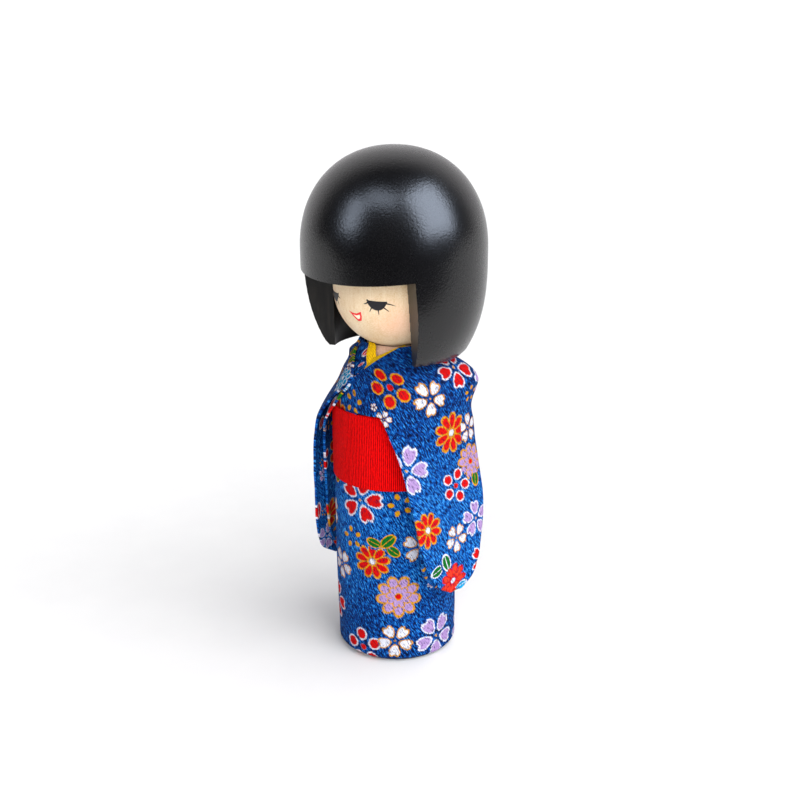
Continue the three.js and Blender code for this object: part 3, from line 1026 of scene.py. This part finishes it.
OBI_CLEARANCE = 0.25  # least distance of a sleeve from the sash
ARMPIT = 84  # above this height a sleeve is joined to the shoulder
LAYER_GAP = {23: 0.5, 25.8: 1.0, 30: 1.4}  # between a sleeve's two layers, less at its hem
OPEN_GAP = 1.7  # the same above the hem


def inner_rows(outer, front_edge):
    """The sleeve's inner layer: from the back fold forward along the inside of the outer one."""
    rows = []
    for z, row in outer:
        gap = LAYER_GAP.get(z, OPEN_GAP)
        line = np.array(row[2:6], float)
        along = np.gradient(line, axis=0)
        normal = np.stack([-along[:, 1], along[:, 0]], axis=1)
        normal /= np.linalg.norm(normal, axis=1)[:, None]
        inside = line + normal * gap
        least = OBI_RADIUS + OBI_CLEARANCE
        for k, point in enumerate(inside):
            r = np.hypot(*point)
            if z < OBI_HIGH[2] + 1 and r < least:
                inside[k] = point * least / r
        rows.append((z, [tuple(line[3]), tuple(inside[2]), tuple(inside[1]), front_edge[z]]))
    return rows


def mirrored(rows):
    return [(z, [(-x, y) for x, y in row]) for z, row in rows]


def make_sleeve(name, outer, front_edge, side, panel_below=None):
    """One side of the kimono: the front, shoulder and outer sleeve in one cloth, folded round
    the sleeve's back edge into its inner layer."""
    inner = inner_rows(outer, front_edge)
    if side < 0:
        outer, inner = mirrored(outer), mirrored(inner)
    sheet = Sheet()
    grid, columns = lofted(outer)
    flat = cloth_plane(grid, columns[4])
    arm, fold = columns[2], columns[5]

    def keep_outer(i, j):
        z = grid[i + 1, j, 2]
        if j >= fold:
            return z > ARMPIT - 0.1
        if panel_below is not None and j < arm:
            tucked = np.hypot(*grid[i + 1, j, :2]) < OBI_RADIUS - 0.3
            return z > (panel_below - 0.1 if tucked else OBI_HIGH[2] + 0.2)
        return True

    sheet.add(grid, flat, keep_outer, flip=side < 0)
    inside, inside_columns = lofted(inner)
    closed_above = ARMPIT if panel_below is None else panel_below + 2
    inside_flat = cloth_plane(inside, 0)
    inside_flat[:, :, 0] += flat[:, [fold], 0]

    def keep_inner(i, j):
        z = inside[i, j, 2]
        return z < closed_above + 0.1 or (z < ARMPIT + 0.1 and j < inside_columns[1])

    sheet.add(inside, inside_flat, keep_inner, flip=side < 0)
    return sheet.build(name)


# Outer surface of the dressed shoulders: radius at each height.
SHOULDER_Z = [94.6, 93, 90.5, 87, 84, 80.5, 76.9, 75.4]
SHOULDER_R = [10.2, 11.3, 12.5, 14.7, 16.1, 17.2, 17.9, 17.5]


def shoulder_radius(z):
    return float(np.interp(-z, [-h for h in SHOULDER_Z], SHOULDER_R))


def shoulder_sheet(name, depth, start, end, levels, steps=6):
    """A panel of the bodice that follows the shoulders at a depth below their surface, between
    two edges given as azimuths by height. Azimuth 0 is the front and grows to the left."""
    rows = []
    for z in levels:
        r = shoulder_radius(z) - depth
        row = []
        for k in range(steps + 1):
            a = math.radians(start(z) + (end(z) - start(z)) * k / steps)
            row.append(on_circle(r, a))
        rows.append((z, row))
    grid, _ = lofted(rows)
    return one_sheet(name, grid, uneven=0.06)


def collar_strip(name, outer_line, inner_line):
    """A narrow strip between its hidden edge and its visible one, each a line of points."""
    rows, columns = 6, 34
    at = np.linspace(0, len(outer_line) - 1, columns)
    low = smooth(range(len(outer_line)), outer_line, at)
    high = smooth(range(len(inner_line)), inner_line, at)
    across = np.linspace(0, 1, rows)[:, None, None]
    crown = 0.25 * np.sin(np.pi * across)
    grid = low[None] * (1 - across) + high[None] * across
    away = grid * np.array([1, 1, 0])
    away /= np.linalg.norm(away, axis=2)[:, :, None]
    grid = grid + away * crown
    flip = np.cross(grid[0, 1] - grid[0, 0], grid[1, 0] - grid[0, 0]) @ grid[0, 0] > 0
    return one_sheet(name, grid, uneven=0.03, flip=bool(flip))


def make_skirt():
    """A sheet wrapped round the wood and lapped at the back, its hem folded under."""
    lap = 14  # degrees of overlap
    covered = 1.1 * CLOTH  # how much deeper the covered layer lies
    edge, edge_steps = 1.5, 6  # radius of the bend at the hem
    hem_width = 6.5
    hem_step = 1.2
    looseness = 0.6  # how far the cloth stands off at most
    loosest = -45  # azimuth where it does
    low, top = SKIRT_LOW[2], SKIRT_HIGH[2]
    columns = math.ceil(2 * math.pi * SKIRT_RADIUS * (1 + lap / 360) / FACE_SIZE)
    profile = [(SKIRT_RADIUS, z) for z in np.arange(top, low + edge, -FACE_SIZE * 1.3)]
    for k in range(edge_steps + 1):
        a = k / edge_steps * math.pi / 2
        profile.append((SKIRT_RADIUS - edge + edge * math.cos(a), low + edge - edge * math.sin(a)))
    folded = np.arange(SKIRT_RADIUS - edge - 0.7, SKIRT_RADIUS - hem_width, -hem_step)
    profile += [(r, low) for r in folded]
    grid = np.zeros((len(profile), columns + 1, 3))
    for j in range(columns + 1):
        turn = -180 - lap + (360 + lap) * j / columns
        under = np.clip((-180 - turn) / lap, 0, 1)
        sink = covered * (3 * under**2 - 2 * under**3)
        loose = looseness * max(0, math.cos(math.radians(turn - loosest))) ** 2
        for i, (r, z) in enumerate(profile):
            inside = r - sink + loose * math.sin(math.pi * (z - low) / (top - low))
            grid[i, j] = (*on_circle(inside, math.radians(turn)), z)
    flat = cloth_plane(grid, 0)
    around = np.linspace(-math.radians(180 + lap), math.pi, columns + 1) * SKIRT_RADIUS
    flat[:, :, 0] = around[None, :]
    flat[:, :, 1] += top
    return one_sheet("skirt", grid, uneven=0.09, flat=flat)


# ---------------------------------------------------------------------------------------------
# Obi
# ---------------------------------------------------------------------------------------------

def make_obi():
    """A band of ribbed cloth with its edges folded in."""
    low, top = OBI_LOW[2], OBI_HIGH[2]
    fold = 0.45
    bend = [(0.75, 0.5), (0.62, 0.12), (0.3, 0), (0.06, 0.18)]  # depths, distances to the edge
    profile = [(OBI_RADIUS - depth, top - inset) for depth, inset in bend]
    profile += [(OBI_RADIUS, z) for z in np.linspace(top - fold, low + fold, 30)]
    profile += [(OBI_RADIUS - depth, low + inset) for depth, inset in reversed(bend)]
    columns = 300
    grid = np.zeros((len(profile), columns + 1, 3))
    for j in range(columns + 1):
        a = 2 * math.pi * j / columns - math.pi
        for i, (r, z) in enumerate(profile):
            grid[i, j] = (*on_circle(r, a), z)
    return one_sheet("obi", grid, uneven=0.07)


def make_knot():
    """The flat drum knot: a strip of the same cloth folded into a loop behind the band."""
    half = KNOT_HIGH[0]
    low, top = KNOT_LOW[2], KNOT_HIGH[2]
    near, far = KNOT_LOW[1], KNOT_HIGH[1]
    middle = (low + top) / 2
    loop = []
    steps = 64
    for k in range(steps + 1):
        a = 2 * math.pi * k / steps + math.pi
        bulge = abs(math.cos(a)) ** 0.35 * math.copysign(1, math.cos(a))
        rise = abs(math.sin(a)) ** 0.6 * math.copysign(1, math.sin(a))
        y = (near + far) / 2 + (far - near) / 2 * bulge
        z = middle + (top - low) / 2 * rise
        loop.append((y, z))
    columns = 31
    grid = np.zeros((steps + 1, columns, 3))
    for i, (y, z) in enumerate(loop):
        for j in range(columns):
            x = -half + 2 * half * j / (columns - 1)
            share = x / half
            pinch = 0.07 * (z - middle) * math.exp(-(share / 0.35) ** 2)
            sag = 0.5 * share**4 if y > (near + far) / 2 else 0
            grid[i, j] = (x, y - sag, z - pinch)
    return one_sheet("knot", grid, uneven=0.12, flip=True)


def make_tail():
    """The end of the sash, hanging from the knot."""
    half = TAIL_HIGH[0]
    low, top = TAIL_LOW[2], TAIL_HIGH[2]
    rows, columns = 24, 21
    grid = np.zeros((rows, columns, 3))
    for i in range(rows):
        down = i / (rows - 1)
        for j in range(columns):
            share = 2 * j / (columns - 1) - 1
            wave = 0.25 * math.sin(share * 4 + 1) * down
            x = share * half * (0.9 + 0.1 * down)
            y = TAIL_HIGH[1] - 0.3 + wave
            grid[i, j] = (-x, y, top - (top - low) * down)
    return one_sheet("sash_tail", grid, uneven=0.1)


# ---------------------------------------------------------------------------------------------
# Putting the doll together
# ---------------------------------------------------------------------------------------------

PRINT = print_cloth()
RED_RIB = red_cloth()
YELLOW_TWILL = yellow_cloth()
LACQUER = lacquer()
CUT_LACQUER = cut_lacquer()
BLUSH = (linear(238, 178, 150), [on_ball(46, -24), on_ball(-46, -24)], 9 * MM)
PALE_WOOD = wood("pale_wood", linear(210, 178, 134), linear(224, 198, 162), linear(232, 212, 182), BLUSH)
CORE_WOOD = wood("core_wood", linear(150, 112, 92), linear(186, 148, 126), linear(204, 172, 150))
FELT = felt()
BLACK_PAINT = paint("black_paint", linear(24, 22, 26), 0.3)
RED_PAINT = paint("red_paint", linear(206, 18, 28), 0.4)
CREAM_PAINT = paint("cream_paint", linear(240, 218, 186), 0.3)

# Blossoms that show in front, on each piece's flat cloth: kind, u, v, radius, turn.
SKIRT_BLOSSOMS = [
    ("red_cherry", 2.7, 50.7, 7.3, 77),
    ("gold_dots", 14.7, 50.1, 3.9, 36),
    ("white_cherry", -13.5, 43, 5.3, 36),
    ("gold_dots", -0.5, 38.3, 3.7, 30),
    ("daisy", 6.3, 32.2, 5.2, 10),
    ("leaf", 11.1, 38.9, 2.7, 42),
    ("leaf", 12.6, 35.8, 2.3, -38),
    ("leaf", 6.9, 38.1, 2.3, 160),
    ("white_cherry", -5.9, 28.1, 4.7, 54),
    ("white_cherry", 20.6, 36.9, 5.4, 10),
    ("red_cherry", -11.2, 14.5, 6.2, 0),
    ("peony", 14.0, 21.5, 6.3, 30),
    ("white_plum", 2.8, 3.7, 6.1, 26),
    ("white_cherry", 12.9, 7.2, 5.4, 50),
    ("lilac_cherry", 26.0, 6.7, 7.0, -18),
    ("lilac_cherry", 25.5, 26, 3.6, 20),
    ("red_cherry", 33.0, 38.5, 6.0, 20),
    ("leaf", -7.9, 55, 2.4, 60),
]
LEFT_BLOSSOMS = [
    ("gold_plum", -16.4, -13.2, 5.7, 42),
    ("white_cherry", -5.6, -16.6, 5.2, 54),
    ("red_cherry", 5.3, -9.5, 6.2, 50),
    ("gold_dots", 9.6, -18.2, 2.8, 20),
    ("daisy", 1.2, -27.9, 5.6, 0),
    ("white_cherry", 8.8, -28.4, 4.3, 90),
    ("peony", 8.6, -38.6, 5.2, 10),
    ("leaf", 9.4, -44.3, 2.4, 80),
    ("lilac_cherry", -14.8, -35.9, 7.0, 66),
    ("white_plum", 1.2, -44.3, 5.4, 66),
    ("lilac_cherry", 6.9, -56.4, 5.4, 90),
    ("daisy", -12.7, -54.3, 5.0, 20),
    ("white_cherry", -1.5, -60.0, 4.3, 54),
    ("orange_daisy", -3.7, -72.3, 4.8, 0),
    ("pale_leaf", -6.4, -66.0, 2.7, 105),
    ("pale_leaf", -10.6, -67.4, 2.5, 12),
    ("cyan_leaf", 0.4, -75.3, 2.3, 30),
    ("red_cherry", 8.6, -69.2, 5.2, -3),
    ("white_cherry", -19.3, -21.8, 2.4, 0),
    ("gold_dots", -29.6, -18.8, 3.5, 10),
    ("white_cherry", -22.1, -18.8, 1.1, 0),
    ("gold_dots", -27.8, -10.0, 2.0, 50),
    ("gold_dots", -4.9, -4.7, 1.8, 0),
    ("lilac_cherry", 16.0, -16.0, 5.5, 0),
]
RIGHT_BLOSSOMS = [
    ("leaf", -14.2, -4.0, 2.4, 60),
    ("leaf", -17.8, -6.6, 2.2, 90),
    ("white_cherry", -19.5, -9.6, 2.0, 0),
    ("cyan_peony", -20.0, -13.8, 3.9, 70),
    ("cyan_peony", 51.6, -18.2, 2.4, 0),
    ("leaf", 50.4, -21.8, 1.6, 90),
    ("red_leaf", 48.4, -26.6, 3.4, 95),
    ("red_leaf", -13.2, -30.6, 2.2, 90),
    ("white_cherry", 44.4, -34.6, 1.5, 0),
    ("gold_dots", -12.9, -44.2, 1.5, 90),
    ("lilac_cherry", -13.2, -48.4, 2.3, 0),
    ("red_leaf", -17.0, -59.2, 2.6, 90),
    ("gold_dots", -13.6, -60.8, 1.5, 0),
    ("lilac_cherry", -12.4, -69.2, 4.6, 0),
]
BODICE_BLOSSOMS = [
    ("red_leaf", 14.0, -2.2, 2.0, 80),
    ("red_leaf", 16.0, -6.4, 0.9, 80),
]

make_hair(LACQUER, CUT_LACQUER)
make_ball(PALE_WOOD)
make_face(BLACK_PAINT, RED_PAINT, CREAM_PAINT)


def finish_printed(piece, nodes, placed, seed, **where):
    """Prints a piece of the kimono, thickens it and stands it for its nodes."""
    print_blossoms(piece, placed, seed, **where)
    thicken(piece)
    put_on(piece, "body", nodes, [PRINT])


def finish_red(piece, node, held, rests_on, **cloth):
    thicken(piece, **cloth)
    put_on(piece, "body", node, [RED_RIB])


skirt = make_skirt()
girth = 2 * math.pi * SKIRT_RADIUS
finish_printed(
    skirt, "kimono_skirt", SKIRT_BLOSSOMS, seed=3, period=girth, planned=(-18, 40, 0, 80)
)

left = make_sleeve("kimono_left", LEFT_OUTER, LEFT_INNER_EDGE, 1, panel_below=75.4)
finish_printed(
    left, ["bodice_left", "sleeve_left"], LEFT_BLOSSOMS, seed=11, planned=(-36, 12, -82, 0)
)

right = make_sleeve("kimono_right", RIGHT_OUTER, RIGHT_INNER_EDGE, -1)
finish_printed(right, "sleeve_right", RIGHT_BLOSSOMS, seed=23, planned=(-25, -10.5, -80, 0))

BODICE_LEVELS = [94.6, 92.5, 90.5, 88.5, 86.5, 84, 81, 77, 75.4]


def right_edge(z):
    """Azimuth of the right panel's front edge, which the left panel covers from the crossing."""
    return float(np.interp(-z, [-94.6, -92.5, -90, -88.5, -84, -75.4], [0, 1.5, 3.5, 12, 22, 36]))


bodice_right = shoulder_sheet(
    "bodice_right_cloth", 0.95, lambda z: -80, right_edge, BODICE_LEVELS
)
finish_printed(
    bodice_right, "bodice_right", BODICE_BLOSSOMS, seed=31, planned=(4, 20, -20, 0)
)

bodice_back = shoulder_sheet(
    "bodice_back_cloth", 0.1, lambda z: 128, lambda z: 232, BODICE_LEVELS
)
finish_printed(bodice_back, "bodice_back", [], seed=37)

collar_left = collar_strip(
    "collar_left",
    [(-0.2, -13.0, 87.6), (1.4, -12.7, 88.9), (4.6, -10.5, 91.5), (7.2, -7.3, 93.3), (8.4, -4, 94.2)],
    [(1.4, -11.2, 90.5), (2.5, -10.5, 91.6), (4.9, -8.9, 92.9), (6.7, -6.7, 94.1), (7.6, -4, 94.7)],
)
collar_right = collar_strip(
    "collar_right",
    [(1.6, -12.6, 88.6), (0.5, -12.0, 89.8), (-0.5, -10.9, 92.4), (-1.2, -9.3, 94.5), (-2, -8.4, 95)],
    [(3.4, -11.2, 90.2), (2.7, -10.3, 91.6), (2.0, -9.75, 93.0), (1.4, -9.0, 94.2), (0.6, -8.6, 94.8)],
)
for strip, node in ((collar_left, "undercollar_left"), (collar_right, "undercollar_right")):
    thicken(strip, thickness=0.45, rim=0.12)
    put_on(strip, "body", node, [YELLOW_TWILL])

obi = make_obi()
finish_red(obi, "obi_band", "stretched", [skirt], thickness=0.25, rim=0.05)
knot = make_knot()
finish_red(knot, "obi_knot", "folded", [obi], thickness=0.6)
finish_red(make_tail(), "obi_tail", "hung", [obi], thickness=0.7)

for node, material in (("body_core", CORE_WOOD), ("neck_dowel", CORE_WOOD), ("base_disc", FELT)):
    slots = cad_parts[node].data.materials
    slots.clear()
    slots.append(material)


# ---------------------------------------------------------------------------------------------
# Floor, light and camera
# ---------------------------------------------------------------------------------------------

def direction(azimuth, elevation):
    """A direction from the doll: azimuth 0 is straight ahead of it and grows to its left."""
    a, e = math.radians(azimuth), math.radians(elevation)
    return Vector((math.sin(a) * math.cos(e), -math.cos(a) * math.cos(e), math.sin(e)))


LAMP_DISTANCE = 0.75
WINDOW_LIGHT = (0.72, 0.82, 1.0)
SUN_SPREAD = 60  # degrees, so that the shadows are soft


def softbox(name, azimuth, elevation, size, power):
    """A lamp that shows as a highlight in the lacquer and gives no diffuse light."""
    target = Vector((0, 0, 110 * MM))
    light = bpy.data.lights.new(name, "AREA")
    light.shape = "RECTANGLE"
    light.size, light.size_y = size
    light.energy = power
    light.color = WINDOW_LIGHT
    lamp = add_object(name, light)
    lamp.location = target + direction(azimuth, elevation) * LAMP_DISTANCE
    lamp.rotation_euler = (target - lamp.location).to_track_quat("-Z", "Y").to_euler()
    lamp.visible_diffuse = False


def sunlight(name, azimuth, elevation, strength):
    """Even light from far off that doesn't show in the lacquer."""
    light = bpy.data.lights.new(name, "SUN")
    light.energy = strength
    light.angle = math.radians(SUN_SPREAD)
    lamp = add_object(name, light)
    lamp.visible_glossy = False
    lamp.rotation_euler = direction(azimuth, elevation).to_track_quat("Z", "Y").to_euler()


CAMERA_AZIMUTH = 44.5


def camera_axes():
    """The level directions to the camera's right and away from it."""
    a = math.radians(CAMERA_AZIMUTH)
    return Vector((math.cos(a), math.sin(a), 0)), Vector((-math.sin(a), math.cos(a), 0))


def make_world():
    """A white room behind the doll and a darker one behind the camera, for the lacquer."""
    world = bpy.data.worlds.new("studio")
    bpy.context.scene.world = world
    world.use_nodes = True
    nodes, links = world.node_tree.nodes, world.node_tree.links
    background = nodes["Background"]
    place = nodes.new("ShaderNodeTexCoord")
    away = nodes.new("ShaderNodeVectorMath")
    away.operation = "DOT_PRODUCT"
    away.inputs[1].default_value = direction(CAMERA_AZIMUTH + 180, 0)
    links.new(place.outputs["Generated"], away.inputs[0])
    spread = nodes.new("ShaderNodeValToRGB")
    stops = spread.color_ramp.elements
    stops[0].position, stops[0].color = 0.6, (0.02, 0.02, 0.024, 1)
    stops[1].position, stops[1].color = 0.8, (1.0, 0.98, 1.0, 1)
    shift = nodes.new("ShaderNodeMath")
    shift.operation = "MULTIPLY_ADD"
    shift.inputs[1].default_value = 0.5
    shift.inputs[2].default_value = 0.5
    links.new(away.outputs["Value"], shift.inputs[0])
    links.new(shift.outputs[0], spread.inputs[0])
    seen = nodes.new("ShaderNodeLightPath")
    mix = nodes.new("ShaderNodeMix")
    mix.data_type = "RGBA"
    links.new(seen.outputs["Is Camera Ray"], mix.inputs[0])
    links.new(spread.outputs[0], mix.inputs[6])
    mix.inputs[7].default_value = (1, 1, 1, 1)
    links.new(mix.outputs[2], background.inputs["Color"])
    background.inputs["Strength"].default_value = 1.0


def make_floor():
    """A wide sheet of white paper that starts just in front of the doll."""
    front, reach = 0.2, 14
    right, away = camera_axes()
    corners = [right * x + away * y for x, y in (
        (-reach, -front), (reach, -front), (reach, reach), (-reach, reach)
    )]
    mesh = bpy.data.meshes.new("floor")
    mesh.from_pydata(corners, [], [(0, 1, 2, 3)])
    floor = add_object("floor", mesh)
    shade = Shade("white_paper", 0.9, Specular_IOR_Level=0.1)
    fibre = shade.noise(shade.here(), scale=60, detail=3.0)
    colour = shade.mix(fibre, (0.71, 0.71, 0.715, 1), (0.75, 0.75, 0.75, 1))
    mesh.materials.append(shade.finish(colour))


def make_camera():
    """A camera that looks down at the doll from its front left."""
    distance, height = 359.6, 193.8  # from the doll's axis, and above the floor
    pitch = 18.16  # degrees down
    roll = -0.45  # degrees
    aside = 1.33  # how far to the right of the axis it is aimed
    data = bpy.data.cameras.new("camera")
    data.sensor_width = 36
    data.lens = 58.76
    camera = add_object("camera", data)
    right, away = camera_axes()
    place = (Vector((0, 0, height)) - away * distance) * MM
    target = right * aside * MM
    ahead = target - Vector((place.x, place.y, 0))
    ahead.z = -math.tan(math.radians(pitch)) * ahead.length
    turn = ahead.to_track_quat("-Z", "Y").to_matrix().to_4x4()
    level = Matrix.Translation(place) @ turn
    camera.matrix_world = level @ Matrix.Rotation(math.radians(roll), 4, "Z")
    bpy.context.scene.camera = camera


make_world()
make_floor()
softbox("left_window", azimuth=-14, elevation=31, size=(0.26, 0.46), power=2.6)
softbox("high_window", azimuth=22, elevation=56, size=(0.46, 0.26), power=1.8)
softbox("right_window", azimuth=102, elevation=37, size=(0.6, 0.72), power=14.0)
sunlight("ceiling", azimuth=106, elevation=56, strength=2.2)
sunlight("side_fill", azimuth=92, elevation=28, strength=2.2)
sunlight("front_fill", azimuth=42, elevation=16, strength=3.3)
make_camera()
bpy.context.scene.view_settings.view_transform = "Standard"
